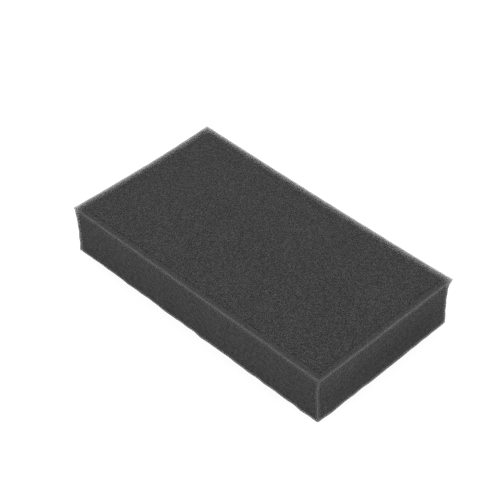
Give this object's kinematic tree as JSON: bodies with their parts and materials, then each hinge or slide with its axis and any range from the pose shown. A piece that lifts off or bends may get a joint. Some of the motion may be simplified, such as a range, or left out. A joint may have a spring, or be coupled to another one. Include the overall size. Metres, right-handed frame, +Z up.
{
  "type": "flat foam air filter element",
  "caption": "Rectangular slab of open-cell foam, die-cut with slightly waisted sides, squeezed into a small engine's filter tray to clean intake air.",
  "frame": {"origin": "middle of the underside", "axes": "+X along the length, +Y along the width, +Z up through the thickness, towards the top face"},
  "size_m": [0.1504, 0.0824, 0.0254],
  "materials": {
    "foam": "matt charcoal grey open-cell polyurethane foam, fine cells, paler cut edges"
  },
  "bodies": {
    "root": {"foam_filter_element": "foam"}
  },
  "joints": []
}
